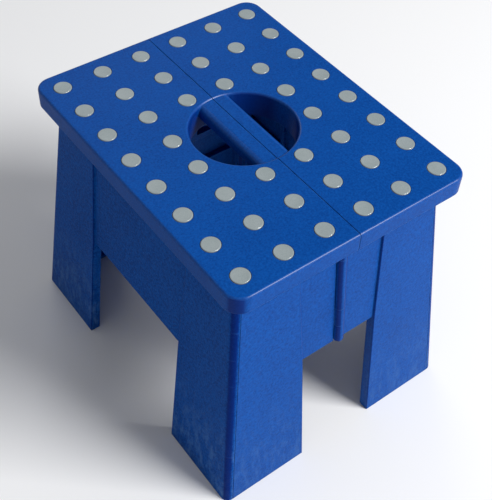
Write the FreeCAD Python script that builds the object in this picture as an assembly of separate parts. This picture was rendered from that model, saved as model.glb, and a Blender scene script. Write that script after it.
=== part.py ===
import FreeCAD, Part
import os

# Folding step stool. Millimetres, +Z up, origin on the floor under the middle of the top.
# X runs across the fold, Y along the crease. The left side panel is at -X, the front end at -Y.

V = FreeCAD.Vector

# Overall size
HEIGHT = 270.0           # floor to top surface
TOP_WIDTH = 240.0        # top, across the crease
TOP_LENGTH = 302.0       # top, along the crease
RIM_DEPTH = 17.4         # height of the rim round the top

# All hinge lines of the folding legs meet at one point high above the stool
APEX = 1345.0            # height of that point above the floor
SIDE_FACE = 105.0        # half distance between the side panels' outer faces, at the top
END_FACE = 131.9         # half distance between the end panels' outer faces, at the top
PANEL = 8.0              # panel depth at the top
SKIN = 2.4
RECESS = 2.0             # middle of each panel set back from its legs

# Hinge lines, at the top
CORNER_X = 96.6
CORNER_Y = 123.9
CENTRE_Y = 130.1
TOP_HINGE_Z = 242.0
CREASE_HINGE_Z = 238.0

ROD_R = 2.0
ROD_FIT = 2.05           # running hole for a rod
ROD_LOOSE = 2.9          # hole that floats round a rod
KNUCKLE_R = 4.6
BARREL_R = 4.8
ROOM = 0.6               # air round a knuckle

# Panels
PANEL_TOP = 248.5        # top edge of the panels' outer skin
RIB_TOP = 236.0          # top edge of the ribbing behind it
ARCH_Z = 131.0           # underside of the panels between the legs
END_GAP = 41.0           # half gap between the two front legs
END_STEP = 44.9          # half width of the set-back middle, at its top
SIDE_GAP_FLOOR = 75.0    # half gap between the legs of a side panel
SIDE_GAP_TOP = 71.3
RETURN = 6.0             # how far a side panel wraps round the corner
CORNER_ROUND = 7.6
SEAM = 0.4               # half the gap down the middle
EDGE_ROUND = 1.0         # rounding of the legs' outward edges

# Top
TOP_SKIN = 3.0
CREASE_GAP = 0.3         # half the gap between the two top halves
RIM_WALL = 2.6
TOP_RIB = 2.0
RIB_LEVEL = 253.0
HOLE_X = 47.7            # half width of the hand opening
HOLE_Y = 45.4
HOLE_WALL_Z = 245.0
BAR_HALF = 16.5          # half width of the carrying bar
BAR_TOP = 269.0
BAR_FOOT = 258.0

# Grip dots
DOT_R = 8.0
DOT_PROUD = 0.7
DOT_SINK = 1.5
DOT_PITCH_X = 40.15
DOT_PITCH_Y = 37.32

OUT = "parts"


def spread(z):
    """How much wider the leg plan is at height z than at the top."""
    return (APEX - z) / (APEX - HEIGHT)


def side_point(along, depth, z):
    """Point on the left side panel: along Y, depth behind its outer face at the top."""
    return V(-(SIDE_FACE - depth) * spread(z), along, z)


def end_point(along, depth, z):
    """Point on the front end: along X, depth behind its outer face at the top."""
    return V(along, -(END_FACE - depth) * spread(z), z)


def wedge(point, low, high, depth, z):
    """Six-sided block leaning with a panel; low and high are its reach at each level."""
    ring = []
    for level, reach in ((z[0], low), (z[1], high)):
        ring.append([point(reach[0], depth[0], level), point(reach[1], depth[0], level),
                     point(reach[1], depth[1], level), point(reach[0], depth[1], level)])
    bottom, top = ring
    walls = [bottom, top]
    for i in range(4):
        j = (i + 1) % 4
        walls.append([bottom[i], bottom[j], top[j], top[i]])
    faces = [Part.Face(Part.makePolygon(w + [w[0]])) for w in walls]
    solid = Part.Solid(Part.Shell(faces))
    if solid.Volume < 0:
        solid.reverse()
    return solid


def straight(point, reach, depth, z):
    """Leaning block with upright ends."""
    return wedge(point, reach, reach, depth, z)


def fanned(point, reach, depth, z):
    """Leaning block whose ends fan out with the corners."""
    low = [r * spread(z[0]) for r in reach]
    high = [r * spread(z[1]) for r in reach]
    return wedge(point, low, high, depth, z)


def mixed(point, upright, fan, depth, z):
    """Leaning block with one upright end and one end that fans out."""
    return wedge(point, [upright, fan * spread(z[0])], [upright, fan * spread(z[1])], depth, z)


def hinge_cylinder(x, y, radius, z1, z2):
    """Cylinder on the hinge line that passes (x, y) at the top and runs to the apex."""
    low = V(x * spread(z1), y * spread(z1), z1)
    high = V(x * spread(z2), y * spread(z2), z2)
    line = high.sub(low)
    return Part.makeCylinder(radius, line.Length, low, line)


def level_cylinder(x, z, radius, y1, y2):
    """Cylinder along Y."""
    return Part.makeCylinder(radius, y2 - y1, V(x, y1, z), V(0, 1, 0))


def box(x, y, z):
    return Part.makeBox(x[1] - x[0], y[1] - y[0], z[1] - z[0], V(x[0], y[0], z[0]))


def mirrored_x(shape):
    return shape.mirror(V(0, 0, 0), V(1, 0, 0))


def mirrored_y(shape):
    return shape.mirror(V(0, 0, 0), V(0, 1, 0))


def both_ends(shapes):
    """The shapes and their mirror images about the middle of the length."""
    return shapes + [mirrored_y(s) for s in shapes]


def side_knuckle_spans():
    """Corner knuckles that belong to the side panels."""
    return [(10 + 30 * i, 24.4 + 30 * i) for i in range(8)]


def end_knuckle_spans():
    """Corner knuckles that belong to the end panels."""
    return [(25 + 30 * i, 39.4 + 30 * i) for i in range(7)]


def left_barrel_spans():
    """Lengths of the centre barrel that belong to the left-hand end panels."""
    return [(152.0, 172.0), (229.0, 247.0)]


def right_barrel_spans():
    """Lengths of the centre barrel that belong to the right-hand end panels."""
    return [(131.0, 151.8), (172.2, 228.8)]


def side_ear_spans():
    """Top hinge knuckles on a side panel, for one end of the stool."""
    return [(18.0, 31.5), (90.0, 102.0)]


def top_ear_spans():
    """Top hinge knuckles under a top half, for one end of the stool."""
    return [(32.0, 44.0), (77.5, 89.5)]


def left_crease_spans():
    """Crease knuckles under the left top half, for one end of the stool."""
    return [(54.0, 66.0), (79.0, 91.0)]


def right_crease_spans():
    """Crease knuckles under the right top half, for one end of the stool."""
    return [(66.5, 78.5), (91.5, 103.5)]


def top_hinge_x():
    return -CORNER_X * spread(TOP_HINGE_Z)


def knuckle_cut(x, y, radius, spans, end_room):
    """Room for another panel's knuckles."""
    cuts = [hinge_cylinder(x, y, radius + ROOM, a - end_room, b + end_room) for a, b in spans]
    return cuts[0].multiFuse(cuts[1:]) if len(cuts) > 1 else cuts[0]


def side_shell():
    """Side panel plate with rounded corner returns, before ribbing and hinges."""
    block = fanned(side_point, [-END_FACE, END_FACE], [0, PANEL], [0, PANEL_TOP])
    corners = []
    for edge in block.Edges:
        middle = edge.CenterOfMass
        face_x = -SIDE_FACE * spread(middle.z)
        if abs(middle.x - face_x) < 0.5 and abs(abs(middle.y) - END_FACE * spread(middle.z)) < 0.5:
            corners.append(edge)
    block = block.makeFillet(CORNER_ROUND, corners)
    trim = fanned(side_point, [-END_FACE - 2, -CORNER_Y + 0.5], [RETURN, PANEL + 2],
                  [-1, PANEL_TOP + 1])
    return block.cut(both_ends([trim]))


def soften_arch(shape, point, reach):
    """Round the outward edges round the gap between the legs, within reach of the middle."""
    picked = []
    for edge in shape.Edges:
        ends = [v.Point for v in edge.Vertexes]
        if len(ends) != 2 or max(abs(along(point, p)) for p in ends) > reach:
            continue
        upright = abs(ends[0].z - ends[1].z) > 20
        depth = 0.0 if upright else RECESS
        if not upright and (abs(ends[0].z - ARCH_Z) > 0.1 or abs(ends[1].z - ARCH_Z) > 0.1):
            continue
        if max(abs(behind(point, depth, p)) for p in ends) < 0.05:
            picked.append(edge)
    return shape.makeFillet(EDGE_ROUND, picked)


def along(point, place):
    """Place along a panel: Y on a side panel, X on an end panel."""
    return place.y if point is side_point else place.x


def behind(point, depth, place):
    """How far a place lies behind a panel's leaning plane at the given depth."""
    on_plane = point(0.0, depth, place.z)
    if point is side_point:
        return place.x - on_plane.x
    return place.y - on_plane.y


def side_cells():
    """Hollows between the ribs on the inner face of a side panel."""
    cells = []
    for z in ((4, 44), (46.5, 86), (88.5, 127)):
        cells.append(wedge(side_point, [78.0, 116 * spread(z[0])], [78.0, 116 * spread(z[1])],
                           [SKIN, PANEL + 1], z))
    upper = [(135, 183), (185.5, 231)]
    for z in upper:
        cells.append(mixed(side_point, 74.0, 116.0, [SKIN, PANEL + 1], z))
        cells.append(straight(side_point, [26.0, 69.0], [RECESS + SKIN, PANEL + 1], z))
    cells = both_ends(cells)
    for z in upper:
        cells.append(straight(side_point, [-23.5, 23.5], [RECESS + SKIN, PANEL + 1], z))
    return cells


def left_side_panel():
    """Side panel with two legs, wrapped corners and two sets of hinge knuckles."""
    panel = side_shell()
    arch = wedge(side_point, [-SIDE_GAP_FLOOR, SIDE_GAP_FLOOR], [-SIDE_GAP_TOP, SIDE_GAP_TOP],
                 [-5, 20], [-0.01, ARCH_Z])
    recess = straight(side_point, [-SIDE_GAP_TOP, SIDE_GAP_TOP], [-5, RECESS],
                      [ARCH_Z, PANEL_TOP + 1])
    panel = soften_arch(panel.cut([arch, recess]), side_point, SIDE_GAP_FLOOR + 1)
    panel = panel.cut(side_cells())
    knuckles = [hinge_cylinder(-CORNER_X, -CORNER_Y, KNUCKLE_R, a, b)
                for a, b in side_knuckle_spans()]
    hinge_x = top_hinge_x()
    ears = [level_cylinder(hinge_x, TOP_HINGE_Z, KNUCKLE_R, a, b) for a, b in side_ear_spans()]
    panel = panel.fuse(both_ends(knuckles + ears))
    slots = [knuckle_cut(-CORNER_X, -CORNER_Y, KNUCKLE_R, end_knuckle_spans(), 0.5),
             hinge_cylinder(-CORNER_X, -CORNER_Y, ROD_FIT, 6, 250)]
    for a, b in top_ear_spans():
        slots.append(box((-125, -85), (a - 0.5, b + 0.5), (TOP_HINGE_Z - KNUCKLE_R - ROOM, 260)))
    groove = level_cylinder(hinge_x, TOP_HINGE_Z, ROD_FIT, -103.6, 103.6)
    return panel.cut(both_ends(slots) + [groove])


def end_cells():
    """Hollows between the ribs on the inner face of a left-hand end panel."""
    cells = []
    for z in ((4, 44), (46.5, 86), (88.5, 127)):
        cells.append(mixed(end_point, -END_GAP - 3.0, -89.6, [SKIN, PANEL + 1], z))
    for z in ((135, 183), (185.5, 232)):
        cells.append(mixed(end_point, -END_STEP - 3.0, -89.6, [SKIN, PANEL + 1], z))
        cells.append(straight(end_point, [-END_GAP + 2, -9], [RECESS + SKIN, PANEL + 1], z))
    return cells


def front_end_panel():
    """Left-hand half of the front end, without its centre barrel: one leg and half the middle."""
    panel = mixed(end_point, -SEAM, -(SIDE_FACE - RETURN) + SEAM, [0, PANEL], [0, PANEL_TOP])
    gap = straight(end_point, [-END_GAP, 5], [-5, 20], [-0.01, ARCH_Z])
    recess = wedge(end_point, [-END_GAP, 5], [-END_STEP, 5], [-5, RECESS], [ARCH_Z, PANEL_TOP + 1])
    above = [straight(end_point, [-150, -END_STEP - 3], [SKIN, 20], [RIB_TOP, PANEL_TOP + 1]),
             straight(end_point, [-END_STEP - 4, 5], [RECESS + SKIN, 20], [RIB_TOP, PANEL_TOP + 1])]
    panel = soften_arch(panel.cut([gap, recess]), end_point, END_STEP + 1)
    panel = panel.cut(above + end_cells())
    knuckles = [hinge_cylinder(-CORNER_X, -CORNER_Y, KNUCKLE_R, a, b)
                for a, b in end_knuckle_spans()]
    panel = panel.fuse(knuckles)
    return panel.cut([knuckle_cut(-CORNER_X, -CORNER_Y, KNUCKLE_R, side_knuckle_spans(), 0.5),
                      hinge_cylinder(-CORNER_X, -CORNER_Y, ROD_FIT, 6, 250)])


def barrel(span, rounded):
    """One length of the centre barrel, its foot rounded if it is the lowest."""
    length = hinge_cylinder(0, -CENTRE_Y, BARREL_R, span[0], span[1])
    if not rounded:
        return length
    foot = min(length.Edges, key=lambda e: e.CenterOfMass.z)
    return length.makeFillet(3.0, [foot])


def with_barrel(panel, mine, theirs, lowest, hole):
    """Add a panel's own barrel lengths and make room for the other panel's."""
    own = [barrel(span, lowest and i == 0) for i, span in enumerate(mine)]
    panel = panel.fuse(own)
    return panel.cut([knuckle_cut(0, -CENTRE_Y, BARREL_R, theirs, 0.2),
                      hinge_cylinder(0, -CENTRE_Y, hole, 133, 260)])


def rounded_plate(x, y, z, radius):
    """Half-top outline: square at the crease, rounded at the two outer corners."""
    plate = box(x, y, z)
    corners = [e for e in plate.Edges
               if abs(e.CenterOfMass.x - x[0]) < 0.01 and abs(e.CenterOfMass.z - sum(z) / 2) < 0.01
               and abs(abs(e.CenterOfMass.y) - y[1]) < 0.01]
    return plate.makeFillet(radius, corners)


def oval(grow, z1, z2):
    """Elliptical column through the hand opening."""
    ellipse = Part.Ellipse(V(0, 0, z1), HOLE_X + grow, HOLE_Y + grow)
    face = Part.Face(Part.Wire(ellipse.toShape()))
    return face.extrude(V(0, 0, z2 - z1))


def top_ribs():
    """Rib lattice under one top half."""
    ribs = []
    for y in (-126, -106, -71, -36, 0, 36, 71, 106, 126):
        ribs.append(box((-118, -2), (y - TOP_RIB / 2, y + TOP_RIB / 2), (RIB_LEVEL, 268)))
    for x in (-112, -84, -58, -30):
        ribs.append(box((x - TOP_RIB / 2, x + TOP_RIB / 2), (-149, 149), (RIB_LEVEL, 268)))
    return ribs


def top_shell():
    """Left half of the top: rounded rim, thin skin, rib lattice and walled hand opening."""
    x = (-TOP_WIDTH / 2, -CREASE_GAP)
    y = (-TOP_LENGTH / 2, TOP_LENGTH / 2)
    plate = rounded_plate(x, y, (HEIGHT - RIM_DEPTH, HEIGHT), 15.0)
    rim = [e for e in plate.Edges
           if abs(e.BoundBox.ZMin - HEIGHT) < 0.01 and e.BoundBox.XMin < x[1] - 0.5]
    plate = plate.makeFillet(2.5, rim)
    hollow = rounded_plate((x[0] + RIM_WALL, x[1] - RIM_WALL), (y[0] + RIM_WALL, y[1] - RIM_WALL),
                           (HEIGHT - RIM_DEPTH - 1, HEIGHT - TOP_SKIN), 12.4)
    hollow = hollow.cut(top_ribs() + [oval(RIM_WALL, 240, 275)])
    plate = plate.cut(hollow)
    collar = oval(RIM_WALL, HOLE_WALL_Z, HEIGHT - 1).cut(box((-CREASE_GAP, 60), (-60, 60), (240, 275)))
    return plate.fuse(collar).cut(oval(0, 240, 275))


def opening_flare():
    """Cutter that rolls the upper edge of the hand opening."""
    wires = []
    for grow, z in ((-0.02, HEIGHT - 2.2), (0.5, HEIGHT - 1.0), (1.2, HEIGHT - 0.3), (2.2, HEIGHT + 0.05)):
        ellipse = Part.Ellipse(V(0, 0, z), HOLE_X + grow, HOLE_Y + grow)
        wires.append(Part.Wire(ellipse.toShape()))
    return Part.makeLoft(wires, True, True)


def half_bar():
    """Left half of the carrying bar: a channel with a rolled outer edge."""
    outer = box((-BAR_HALF, -CREASE_GAP), (-50, 50), (BAR_FOOT, BAR_TOP))
    roll = [e for e in outer.Edges
            if abs(e.CenterOfMass.x + BAR_HALF) < 0.01 and abs(e.CenterOfMass.z - BAR_TOP) < 0.01]
    outer = outer.makeFillet(6.5, roll)
    inner = box((-BAR_HALF + 2.6, -CREASE_GAP - 2.6), (-42, 42), (BAR_FOOT - 1, BAR_TOP - 3))
    roll = [e for e in inner.Edges
            if abs(e.CenterOfMass.x + BAR_HALF - 2.6) < 0.01
            and abs(e.CenterOfMass.z - BAR_TOP + 3) < 0.01]
    inner = inner.makeFillet(3.9, roll)
    return outer.cut(inner).common(oval(RIM_WALL / 2, 240, 275))


def dot_centres():
    """Grip dots on the left half, leaving out the two over the hand opening."""
    centres = []
    for column in range(3):
        for row in range(-4, 4):
            if column == 0 and row in (-1, 0):
                continue
            centres.append((-(column + 0.5) * DOT_PITCH_X, (row + 0.5) * DOT_PITCH_Y))
    return centres


def grip_dots():
    """Inset discs with softened upper edges."""
    discs = []
    for x, y in dot_centres():
        disc = Part.makeCylinder(DOT_R, DOT_SINK + DOT_PROUD, V(x, y, HEIGHT - DOT_SINK))
        edge = max(disc.Edges, key=lambda e: e.CenterOfMass.z)
        discs.append(disc.makeFillet(0.5, [edge]))
    return Part.makeCompound(discs)


def dot_seats():
    return [Part.makeCylinder(DOT_R + 0.35, 5, V(x, y, HEIGHT - DOT_SINK)) for x, y in dot_centres()]


def top_ears():
    """Side hinge knuckles under the left half and the posts that carry them."""
    x = top_hinge_x()
    ears = []
    for a, b in top_ear_spans():
        ears.append(level_cylinder(x, TOP_HINGE_Z, KNUCKLE_R, a, b))
        ears.append(box((x - KNUCKLE_R, x + KNUCKLE_R), (a, b), (TOP_HINGE_Z, 268)))
    return both_ends(ears)


def crease_ears(spans):
    """Crease hinge knuckles under the left half and the posts that carry them."""
    ears = []
    for a, b in spans:
        ears.append(level_cylinder(0, CREASE_HINGE_Z, KNUCKLE_R, a, b))
        ears.append(box((-KNUCKLE_R, -CREASE_GAP), (a, b), (CREASE_HINGE_Z, 268)))
    return both_ends(ears)


def top_half(crease_spans, crease_hole):
    """Complete left half of the top, with the given crease knuckles."""
    half = top_shell().cut(opening_flare())
    half = half.fuse([half_bar()] + top_ears() + crease_ears(crease_spans))
    crease = level_cylinder(0, CREASE_HINGE_Z, crease_hole, 50, 110)
    side = level_cylinder(top_hinge_x(), TOP_HINGE_Z, ROD_FIT, 10, 110)
    return half.cut(dot_seats() + both_ends([crease, side]))


def save(name, shape):
    shape = shape.removeSplitter() if len(shape.Solids) == 1 else shape
    print(name, "solids", len(shape.Solids), "valid", shape.isValid(), "volume", round(shape.Volume))
    shape.exportStep(OUT + "/" + name + ".step")


def build():
    os.makedirs(OUT, exist_ok=True)
    left_side = left_side_panel()
    save("side_panel_left", left_side)
    save("side_panel_right", mirrored_x(left_side))

    end = front_end_panel()
    left_end = with_barrel(end, left_barrel_spans(), right_barrel_spans(), False, ROD_FIT)
    other = mirrored_x(end)
    right_end = with_barrel(other, right_barrel_spans(), left_barrel_spans(), True, ROD_FIT)
    loose_end = with_barrel(other, right_barrel_spans(), left_barrel_spans(), True, ROD_LOOSE)
    save("end_panel_front_left", left_end)
    save("end_panel_front_right", right_end)
    save("end_panel_back_left", mirrored_y(left_end))
    save("end_panel_back_right", mirrored_y(loose_end))

    save("top_half_left", top_half(left_crease_spans(), ROD_FIT))
    save("top_half_right", mirrored_x(top_half(right_crease_spans(), ROD_LOOSE)))
    dots = grip_dots()
    save("grip_dots_left", dots)
    save("grip_dots_right", mirrored_x(dots))

    corner = hinge_cylinder(-CORNER_X, -CORNER_Y, ROD_R, 8, 236)
    save("corner_rod_front_left", corner)
    save("corner_rod_front_right", mirrored_x(corner))
    save("corner_rod_back_left", mirrored_y(corner))
    save("corner_rod_back_right", mirrored_y(mirrored_x(corner)))

    centre = hinge_cylinder(0, -CENTRE_Y, ROD_R, 134, 242)
    save("centre_rod_front", centre)
    save("centre_rod_back", mirrored_y(centre))

    top_rod = level_cylinder(top_hinge_x(), TOP_HINGE_Z, ROD_R, -103, 103)
    save("top_rod_left", top_rod)
    save("top_rod_right", mirrored_x(top_rod))

    crease = level_cylinder(0, CREASE_HINGE_Z, ROD_R, 53.5, 104)
    save("crease_rod_back", crease)
    save("crease_rod_front", mirrored_y(crease))


build()
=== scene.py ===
import math
import bpy
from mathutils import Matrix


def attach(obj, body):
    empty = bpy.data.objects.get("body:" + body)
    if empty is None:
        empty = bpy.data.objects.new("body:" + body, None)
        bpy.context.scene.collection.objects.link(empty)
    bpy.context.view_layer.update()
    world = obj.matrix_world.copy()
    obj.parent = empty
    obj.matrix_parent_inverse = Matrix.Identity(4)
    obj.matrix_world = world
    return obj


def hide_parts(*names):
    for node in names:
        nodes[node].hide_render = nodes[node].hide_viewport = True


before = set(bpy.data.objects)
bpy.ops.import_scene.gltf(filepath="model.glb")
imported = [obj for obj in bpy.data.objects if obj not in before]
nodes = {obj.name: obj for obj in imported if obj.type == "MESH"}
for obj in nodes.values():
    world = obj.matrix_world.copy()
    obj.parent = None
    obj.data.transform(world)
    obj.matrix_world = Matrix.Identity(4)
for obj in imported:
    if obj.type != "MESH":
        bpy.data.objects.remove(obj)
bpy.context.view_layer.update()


# Top. Two mirror-image halves injection moulded in blue polypropylene: a thin skin with a rounded rim, a rib lattice
# under it, and half of the walled hand opening and carrying bar on each. Steel rods hinge the halves at the crease and
# to the side panels.
class Socket:
    """An output socket in a shader. Arithmetic on it adds Math nodes."""

    def __init__(self, tree, out):
        self.tree = tree
        self.out = out

    def node(self, kind, settings=None, **inputs):
        """Adds a node: settings first, then the values or links of its sockets."""
        made = self.tree.nodes.new(kind)
        for name, value in (settings or {}).items():
            setattr(made, name, value)
        for name, value in inputs.items():
            numbered = name[0] == "i" and name[1:].isdigit()
            target = made.inputs[int(name[1:]) if numbered else name.replace("_", " ")]
            if isinstance(value, Socket):
                self.tree.links.new(value.out, target)
            else:
                target.default_value = value
        return made

    def math(self, operation, a, b=0.0):
        made = self.node("ShaderNodeMath", {"operation": operation}, i0=a, i1=b)
        return Socket(self.tree, made.outputs[0])

    def __add__(self, other):
        return self.math("ADD", self, other)

    def __radd__(self, other):
        return self.math("ADD", other, self)

    def __sub__(self, other):
        return self.math("SUBTRACT", self, other)

    def __rsub__(self, other):
        return self.math("SUBTRACT", other, self)

    def __mul__(self, other):
        return self.math("MULTIPLY", self, other)

    def __rmul__(self, other):
        return self.math("MULTIPLY", other, self)

    def fraction(self):
        """The part after the decimal point."""
        return self.math("FRACT", self)

    def noise(self, scale, detail=3.0, roughness=0.5):
        """Noise in object space; scale is in lumps per metre."""
        made = self.node("ShaderNodeTexNoise", None, Vector=self, Scale=scale, Detail=detail, Roughness=roughness)
        return Socket(self.tree, made.outputs["Fac"])

    def stretched(self, scale):
        """The same place with each axis scaled, for streaks."""
        made = self.node("ShaderNodeMapping", None, Vector=self, Scale=scale)
        return Socket(self.tree, made.outputs["Vector"])

    def part(self, axis):
        """One coordinate of a place or normal."""
        made = self.node("ShaderNodeSeparateXYZ", None, Vector=self)
        return Socket(self.tree, made.outputs[axis])

    def ramp(self, low, high):
        """0 below low, 1 above high, smooth between."""
        made = self.node("ShaderNodeMapRange", {"interpolation_type": "SMOOTHSTEP"}, Value=self, From_Min=low,
                         From_Max=high)
        return Socket(self.tree, made.outputs["Result"])

    def tint(self, low, high):
        """Mixes two colours by this value."""
        made = self.node("ShaderNodeMix", {"data_type": "RGBA"}, i0=self, i6=low, i7=high)
        return Socket(self.tree, made.outputs[2])

    def bump(self, distance, strength, base):
        """The base normal raised by this value, in metres."""
        made = self.node("ShaderNodeBump", None, Height=self, Strength=strength, Distance=distance, Normal=base)
        return Socket(self.tree, made.outputs["Normal"])


def new_material(name):
    """An empty material: itself, its shader and its object-space place."""
    made = bpy.data.materials.new(name)
    made.use_nodes = True
    shader = made.node_tree.nodes["Principled BSDF"]
    coordinates = made.node_tree.nodes.new("ShaderNodeTexCoord")
    return made, shader, Socket(made.node_tree, coordinates.outputs["Object"])


def feed(shader, name, value):
    """Links a value or colour to the shader's socket."""
    shader.id_data.links.new(value.out, shader.inputs[name])


def finish_in(names, material):
    """Gives CAD nodes one material all over."""
    for name in names:
        nodes[name].data.materials.clear()
        nodes[name].data.materials.append(material)


def facing(place):
    """The way the surface faces, in object space."""
    return Socket(place.tree, place.node("ShaderNodeTexCoord").outputs["Normal"])


def rolled_edge(place):
    """1 where the surface turns over between level and upright, as on a rolled edge."""
    up = facing(place).part("Z")
    return up.ramp(0.15, 0.45) * (1.0 - up.ramp(0.955, 0.992))


def edge_softness(place, radius):
    """The normal rounded over the edges, and how much it differs from the flat one."""
    normal = Socket(place.tree, place.node("ShaderNodeBevel", {"samples": 4}, Radius=radius).outputs["Normal"])
    flat = Socket(place.tree, place.node("ShaderNodeNewGeometry").outputs["Normal"])
    dot = place.node("ShaderNodeVectorMath", {"operation": "DOT_PRODUCT"}, i0=normal, i1=flat)
    return normal, 1.0 - Socket(place.tree, dot.outputs["Value"])


def upright_corner(place):
    """1 where a rounded corner faces both ways at once, 0 on the flats."""
    across, along = facing(place).part("X"), facing(place).part("Y")
    return (across * across * along * along * 4.0).ramp(0.05, 0.70)


def blue_plastic(name, shine, gloss, lumps, ripple, flecks, spread, corner_shade, bumps_and_highlights=None, reflection_streaks=None, reflection_strength=0.0):
    """Moulded blue. Lumps per metre and ripple set the mottle, and a small spread gives strong contrast.

    The corner setting is how deep the painted shade on the rounded corners goes. The knuckle bumps with their painted
    highlights and the streaks of painted floor reflection are functions of the place.
    """
    deep_blue, mid_blue = (0.0012, 0.042, 0.225, 1.0), (0.0036, 0.084, 0.380, 1.0)
    fleck_blue, reflection_blue = (0.008, 0.120, 0.420, 1.0), (0.060, 0.165, 0.430, 1.0)
    corner_shade_blue, knuckle_highlight_blue = (0.0006, 0.013, 0.150, 1.0), (0.020, 0.110, 0.420, 1.0)
    worn_and_highlight_blue = (0.060, 0.220, 0.620, 1.0)
    edge_radius, grain_depth = 0.0011, 0.00045
    made, shader, place = new_material(name)
    cloud = place.noise(14.0, 3.0)
    mottle = place.noise(lumps, 4.0, 0.7)
    grain = place.noise(2600.0, 2.0)
    speckle = place.noise(800.0, 3.0, 0.7).ramp(0.55, 0.75)
    normal, edge = edge_softness(place, edge_radius)
    # Pale rubbed edges: partly real wear, partly a painted highlight along the edges.
    edge_wear_and_highlight = edge.ramp(0.03, 0.30) * place.noise(90.0, 3.0).ramp(0.30, 0.65)
    shade = (cloud * 0.12 + mottle * 0.68 + grain * 0.20).ramp(0.5 - spread, 0.5 + spread)
    colour = (speckle * flecks).tint(shade.tint(deep_blue, mid_blue), fleck_blue)
    relief = mottle * ripple + speckle * 0.12 + grain * 0.05
    corner = upright_corner(place)
    # Painted floor reflection: pale streaks low on the legs, fading upwards.
    if reflection_streaks:
        colour = (reflection_streaks(place) * reflection_strength).tint(colour, reflection_blue)
    # Painted shade: the rounded upright corners darkened to deep blue.
    colour = (corner * corner_shade).tint(colour, corner_shade_blue)
    # Each hinge knuckle gets a real bump and a lighter painted highlight band.
    if bumps_and_highlights:
        bump_and_highlight = bumps_and_highlights(place) * corner
        colour = (bump_and_highlight * 0.35).tint(colour, knuckle_highlight_blue)
        relief = relief + bump_and_highlight * 0.8
    feed(shader, "Base Color", (edge_wear_and_highlight * 0.5).tint(colour, worn_and_highlight_blue))
    feed(shader, "Roughness", gloss + mottle * 0.2 + grain * 0.08 - edge_wear_and_highlight * 0.08)
    feed(shader, "Coat Weight", rolled_edge(place) * 0.5)
    feed(shader, "Normal", relief.bump(grain_depth, 0.6, normal))
    shader.inputs["Coat Roughness"].default_value = 0.30
    shader.inputs["Specular IOR Level"].default_value = shine
    shader.inputs["IOR"].default_value = 1.49
    return made


# The top's rounded rim corners take the same painted shade in deep blue.
top_blue = blue_plastic("top_blue", shine=0.04, gloss=0.20, lumps=560.0, ripple=0.30, flecks=0.25, spread=0.20,
                       corner_shade=0.75)
finish_in(("top_half_left", "top_half_right"), top_blue)


# Side panels. Each is one moulding in the same plastic: two splayed legs with the panel between them, wrapped round
# both corners. The spark-eroded tool leaves a coarse mottle. Pale streaks of painted floor reflection rise from the
# feet, the rounded corners carry a painted shade in deep blue, and each hinge knuckle has a bump with a faint painted
# highlight.
def knuckle_bumps_and_highlights(place):
    """A short faint band at each hinge knuckle, one above the other, used as a bump and as a painted highlight."""
    knuckle_pitch = 0.030
    step = (place.part("Z") * (1.0 / knuckle_pitch)).fraction()
    band = step.ramp(0.02, 0.05) * (1.0 - step.ramp(0.07, 0.10))
    return band * place.noise(60.0, 2.0).ramp(0.35, 0.65)


def foot_reflection_streaks(place):
    """Upright pale streaks of painted floor reflection, thickest at the floor and gone half-way up the leg."""
    thickest_below, gone_above = 0.015, 0.125
    streaks = place.stretched((170.0, 120.0, 50.0)).noise(1.0, 5.0, 0.75).ramp(0.42, 0.72)
    return streaks * (1.0 - place.part("Z").ramp(thickest_below, gone_above))


side_blue = blue_plastic("side_blue", shine=0.02, gloss=0.22, lumps=400.0, ripple=1.0, flecks=0.5, spread=0.10,
                         corner_shade=0.85, bumps_and_highlights=knuckle_bumps_and_highlights, reflection_streaks=foot_reflection_streaks, reflection_strength=0.9)
finish_in(("side_panel_left", "side_panel_right"), side_blue)

# End panels. Each end is two mouldings, a leg and half the middle, which fold inwards on a barrel hinge. They come from
# a smoother tool than the side panels, so the mottle is finer. The round barrel and the other rounded upright edges
# carry a painted shade in deeper blue, and the feet fainter streaks of painted floor reflection.
end_blue = blue_plastic("end_blue", shine=0.06, gloss=0.25, lumps=420.0, ripple=0.7, flecks=0.3, spread=0.17,
                        corner_shade=0.75, reflection_streaks=foot_reflection_streaks, reflection_strength=0.35)
finish_in(("end_panel_front_left", "end_panel_front_right", "end_panel_back_left", "end_panel_back_right"), end_blue)

# Grip dots. Cool grey thermoplastic rubber discs, pressed into round seats in the top. Each has a raised polished lip,
# lightened with a painted highlight, round a slightly dished, matt middle with a faint speckle and random darker and
# lighter blotches, and stands 0.7 mm proud.
darker_grey, lighter_grey, lip_highlight_grey = (0.240, 0.285, 0.290, 1.0), (0.305, 0.350, 0.358, 1.0), (0.600, 0.650, 0.680, 1.0)
lip_softness, speckle_depth = 0.0004, 0.00008
dot_grey, shader, place = new_material("dot_grey")
speckle = place.noise(1500.0, 3.0)
normal, edge = edge_softness(place, lip_softness)
# The lip is made smoother and lightened with a painted highlight.
lip_polish_and_highlight = edge.ramp(0.02, 0.20)
# Random darker and lighter blotches.
blotches = (speckle * 0.6 + place.noise(60.0, 2.0) * 0.4).ramp(0.3, 0.7)
feed(shader, "Base Color", (lip_polish_and_highlight * 0.7).tint(blotches.tint(darker_grey, lighter_grey), lip_highlight_grey))
feed(shader, "Roughness", 0.34 + speckle * 0.2 - lip_polish_and_highlight * 0.26)
feed(shader, "Coat Weight", rolled_edge(place))
feed(shader, "Normal", speckle.bump(speckle_depth, 0.5, normal))
shader.inputs["Coat Roughness"].default_value = 0.10
shader.inputs["Specular IOR Level"].default_value = 0.5

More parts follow.
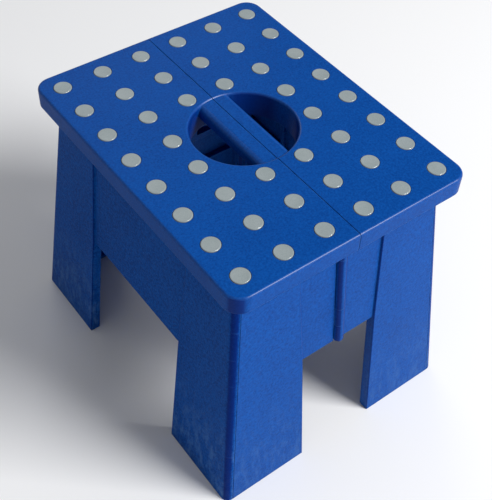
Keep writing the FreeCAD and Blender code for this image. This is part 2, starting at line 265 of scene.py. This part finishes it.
dot_underside, dot_crown, dot_radius = 0.2685, 0.2707, 0.0080
dish_rings = ((0.0014, 0.00014), (0.0016, 0.00010), (0.0022, 0.0))
row_pitch, column_pitch = 0.03732, 0.04015
bpy.ops.object.select_all(action="DESELECT")
bpy.ops.mesh.primitive_cylinder_add(vertices=56, radius=dot_radius, depth=dot_crown - dot_underside,
                                    location=(0.0, 0.0, (dot_crown + dot_underside) / 2))
dot = bpy.context.object
bpy.ops.object.mode_set(mode="EDIT")
bpy.ops.mesh.select_mode(type="FACE")
bpy.ops.mesh.select_all(action="DESELECT")
bpy.ops.object.mode_set(mode="OBJECT")
for face in dot.data.polygons:
    face.select = face.normal.z > 0.9
bpy.ops.object.mode_set(mode="EDIT")
for ring_width, drop in dish_rings:
    bpy.ops.mesh.inset(thickness=ring_width)
    bpy.ops.transform.translate(value=(0.0, 0.0, -drop))
bpy.ops.object.mode_set(mode="OBJECT")
rounding = dot.modifiers.new("rounding", "BEVEL")
rounding.width = 0.00085
rounding.segments = 4
rounding.limit_method = "ANGLE"
rounding.angle_limit = math.radians(50.0)
bpy.ops.object.modifier_apply(modifier=rounding.name)
bpy.ops.object.shade_smooth_by_angle(angle=math.radians(40.0))
dot.data.materials.append(dot_grey)

for side, node_name, body in ((-1, "grip_dots_left", "left_top"), (1, "grip_dots_right", "right_top")):
    bpy.ops.object.select_all(action="DESELECT")
    discs = []
    for column in range(3):
        for row in range(-4, 4):
            over_the_opening = column == 0 and row in (-1, 0)
            if over_the_opening:
                continue
            disc = dot.copy()
            disc.data = dot.data.copy()
            bpy.context.collection.objects.link(disc)
            disc.location.x = side * (column + 0.5) * column_pitch
            disc.location.y = (row + 0.5) * row_pitch
            disc.select_set(True)
            discs.append(disc)
    bpy.context.view_layer.objects.active = discs[0]
    bpy.ops.object.join()
    bpy.ops.object.transform_apply(location=True, rotation=True, scale=True)
    discs[0].name = node_name + "_moulded"
    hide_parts(node_name)
    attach(discs[0], body)
bpy.data.objects.remove(dot)

# Hinge rods. Drawn steel wire, 4 mm thick, cut to length and driven through the knuckles of each hinge, where the last
# knuckle grips it. Only the ends show.
rod_steel, shader, place = new_material("rod_steel")
dark_steel, bright_steel = (0.42, 0.42, 0.43, 1.0), (0.62, 0.62, 0.63, 1.0)
drawn = place.stretched((400.0, 400.0, 12.0)).noise(1.0, 3.0)
feed(shader, "Base Color", drawn.tint(dark_steel, bright_steel))
feed(shader, "Roughness", 0.28 + drawn * 0.2)
shader.inputs["Metallic"].default_value = 1.0
finish_in([name for name in nodes if "_rod_" in name], rod_steel)

# Floor. A plain, pale, matt studio sweep. It is wide enough to fill the view from above, and lies a hair below the feet
# so that the two faces don't fight.
floor_width, hair_below = 14.0, -0.0004
bpy.ops.object.select_all(action="DESELECT")
bpy.ops.mesh.primitive_plane_add(size=floor_width, location=(0.0, 0.0, hair_below))
floor = bpy.context.object
floor.name = "floor"
floor_white, shader, place = new_material("floor_white")
shader.inputs["Base Color"].default_value = (0.92, 0.92, 0.92, 1.0)
shader.inputs["Roughness"].default_value = 0.9
floor.data.materials.append(floor_white)


# Light. A broad softbox in front, high and to the right, gives the soft shadow. A weak one behind lifts the far edges,
# and a dim, slightly cool room fills the rest.
def softbox(name, stands, aim, size, watts):
    """A rectangular lamp that stands at one place and points at another."""
    lamp = bpy.data.lights.new(name, "AREA")
    lamp.shape = "RECTANGLE"
    lamp.size, lamp.size_y = size
    lamp.energy = watts
    holder = bpy.data.objects.new(name, lamp)
    bpy.context.collection.objects.link(holder)
    holder.location = stands
    way = [to - at for to, at in zip(aim, stands)]
    level = math.hypot(way[0], way[1])
    holder.rotation_euler = (math.atan2(level, -way[2]), 0.0, math.atan2(way[1], way[0]) - math.pi / 2)


softbox("key", stands=(1.35, -1.98, 2.15), aim=(0.0, 0.0, 0.15), size=(1.5, 1.1), watts=111.0)
softbox("back_glow", stands=(0.8, 2.1, 1.9), aim=(0.0, 0.0, 0.2), size=(1.4, 1.0), watts=9.0)

room = bpy.data.worlds.new("room")
bpy.context.scene.world = room
room.use_nodes = True
room.node_tree.nodes["Background"].inputs["Color"].default_value = (0.93, 0.95, 1.0, 1.0)
room.node_tree.nodes["Background"].inputs["Strength"].default_value = 0.28

# Camera. It stands off the front left corner, half a metre above the top, and looks down at the stool with a slight
# tilt of the horizon.
camera_data = bpy.data.cameras.new("camera")
camera_data.lens = 66.7
camera_data.sensor_width = 36.0
camera_data.shift_x = -0.0162
camera_data.shift_y = 0.0016
camera = bpy.data.objects.new("camera", camera_data)
bpy.context.collection.objects.link(camera)
camera.location = (-0.3722, -0.4700, 0.7889)
camera.rotation_euler = [math.radians(turn) for turn in (41.491, -2.512, -37.028)]
bpy.context.scene.camera = camera
bpy.context.scene.view_settings.view_transform = "Standard"
